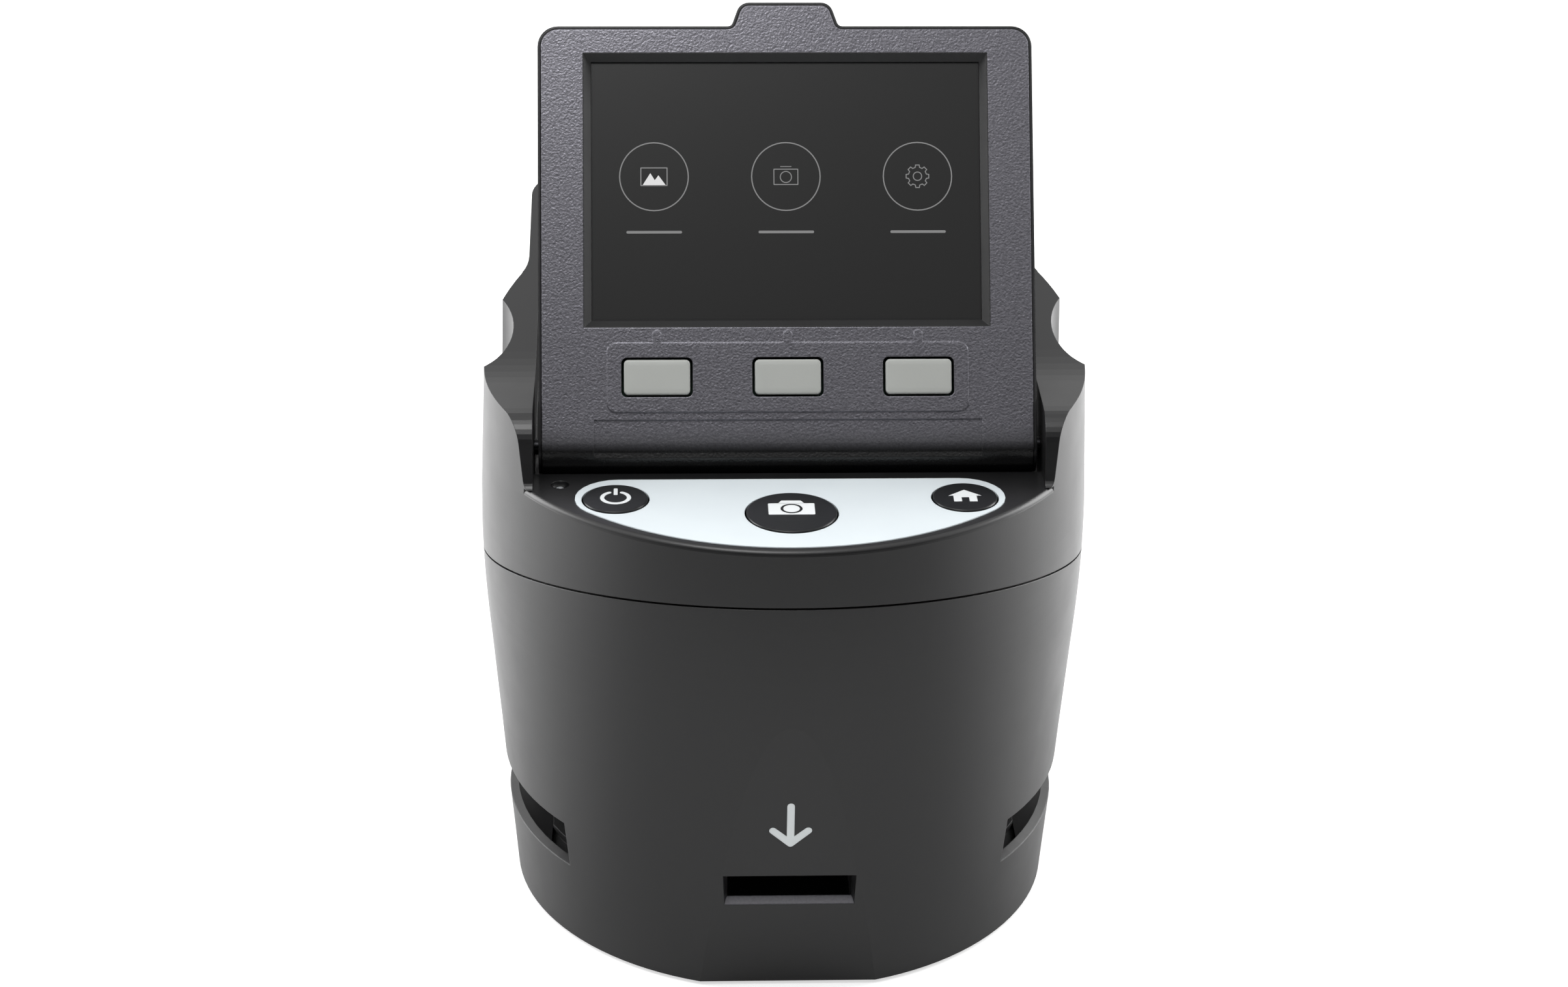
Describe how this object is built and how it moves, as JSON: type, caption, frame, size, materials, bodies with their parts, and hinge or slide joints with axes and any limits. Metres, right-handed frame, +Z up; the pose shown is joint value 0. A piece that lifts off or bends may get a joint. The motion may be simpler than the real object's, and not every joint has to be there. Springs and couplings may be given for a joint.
{
  "type": "film negative scanner",
  "caption": "Desktop film and slide scanner: round tapered housing, a film passage through its base, a control deck and a tilting screen with keys on top",
  "frame": {"origin": "centre of the footprint on the table, on the axis of the round body", "axes": "+Z up, front with the window and the control deck towards -Y, +X to the viewer's right, the film passage runs along X"},
  "size_m": [0.1188, 0.1188, 0.1761],
  "materials": {
    "housing_abs": "fine spark-eroded ABS, satin-matte charcoal",
    "crown_abs": "fine spark-eroded ABS, satin charcoal",
    "base_abs": "plain black ABS",
    "foot_rubber": "black rubber",
    "screw_steel": "zinc-plated steel",
    "inner_abs": "matt black light-trap ABS",
    "white_abs": "white ABS",
    "opal_acrylic": "opal acrylic",
    "board_green": "solder mask on glass-fibre board",
    "chip_black": "moulded epoxy",
    "led_resin": "clear yellow resin",
    "lens_metal": "black anodised aluminium",
    "optical_glass": "coated optical glass",
    "socket_steel": "nickel-plated sheet steel",
    "light_pipe": "clear acrylic",
    "overlay_white": "satin white polycarbonate",
    "button_black": "satin near-black ABS",
    "pin_steel": "ground steel",
    "bezel_abs": "coarse spark-eroded ABS, grey",
    "cover_abs": "smooth black ABS",
    "panel_frame": "plain sheet frame of the display",
    "display_glass": "dark clear hard-coated window",
    "sleeve_brass": "plain brass",
    "key_grey": "satin light grey ABS"
  },
  "bodies": {
    "housing": {"lower_housing": "housing_abs", "upper_housing": "crown_abs", "base_plate": "base_abs", "rubber_feet": "foot_rubber", "base_screws": "screw_steel", "housing_screws": "screw_steel", "film_bed": "inner_abs", "diffuser": "opal_acrylic", "light_box": "white_abs", "backlight_board": "board_green", "backlight_leds": "led_resin", "light_box_screws": "screw_steel", "film_gate": "inner_abs", "tower_screws": "screw_steel", "lens_barrel": "lens_metal", "lens_glass": "optical_glass", "sensor_board": "board_green", "image_sensor": "chip_black", "sensor_screws": "screw_steel", "main_board": "board_green", "board_chips": "chip_black", "board_screws": "screw_steel", "usb_socket": "socket_steel", "card_socket": "socket_steel", "video_socket": "socket_steel", "button_board": "board_green", "deck_switches": "chip_black", "button_board_screws": "screw_steel", "status_light": "light_pipe", "control_overlay": "overlay_white", "hinge_pins": "pin_steel"},
    "screen": {"screen_bezel": "bezel_abs", "screen_back": "cover_abs", "display_panel": "panel_frame", "display_window": "display_glass", "key_board": "board_green", "key_switches": "chip_black", "screen_screws": "screw_steel", "friction_sleeves": "sleeve_brass"},
    "power_button": {"power_button": "button_black"},
    "capture_button": {"capture_button": "button_black"},
    "home_button": {"home_button": "button_black"},
    "left_key": {"left_key": "key_grey"},
    "middle_key": {"middle_key": "key_grey"},
    "right_key": {"right_key": "key_grey"}
  },
  "joints": [
    {"name": "screen_hinge", "type": "hinge", "parent": "housing", "child": "screen", "pos_m": [0, -0.0184, 0.10017], "axis": [-1, 0, 0], "range_deg": [0, 45]},
    {"name": "power_press", "type": "slide", "parent": "housing", "child": "power_button", "axis": [0, 0, -1], "range_m": [0, 0.0008], "stiffness_N_per_m": 1500},
    {"name": "capture_press", "type": "slide", "parent": "housing", "child": "capture_button", "axis": [0, 0, -1], "range_m": [0, 0.0008], "stiffness_N_per_m": 1500},
    {"name": "home_press", "type": "slide", "parent": "housing", "child": "home_button", "axis": [0, 0, -1], "range_m": [0, 0.0008], "stiffness_N_per_m": 1500},
    {"name": "left_key_press", "type": "slide", "parent": "screen", "child": "left_key", "axis": [0, 0.866, -0.5], "range_m": [0, 0.0006], "stiffness_N_per_m": 2000},
    {"name": "middle_key_press", "type": "slide", "parent": "screen", "child": "middle_key", "axis": [0, 0.866, -0.5], "range_m": [0, 0.0006], "stiffness_N_per_m": 2000},
    {"name": "right_key_press", "type": "slide", "parent": "screen", "child": "right_key", "axis": [0, 0.866, -0.5], "range_m": [0, 0.0006], "stiffness_N_per_m": 2000}
  ]
}
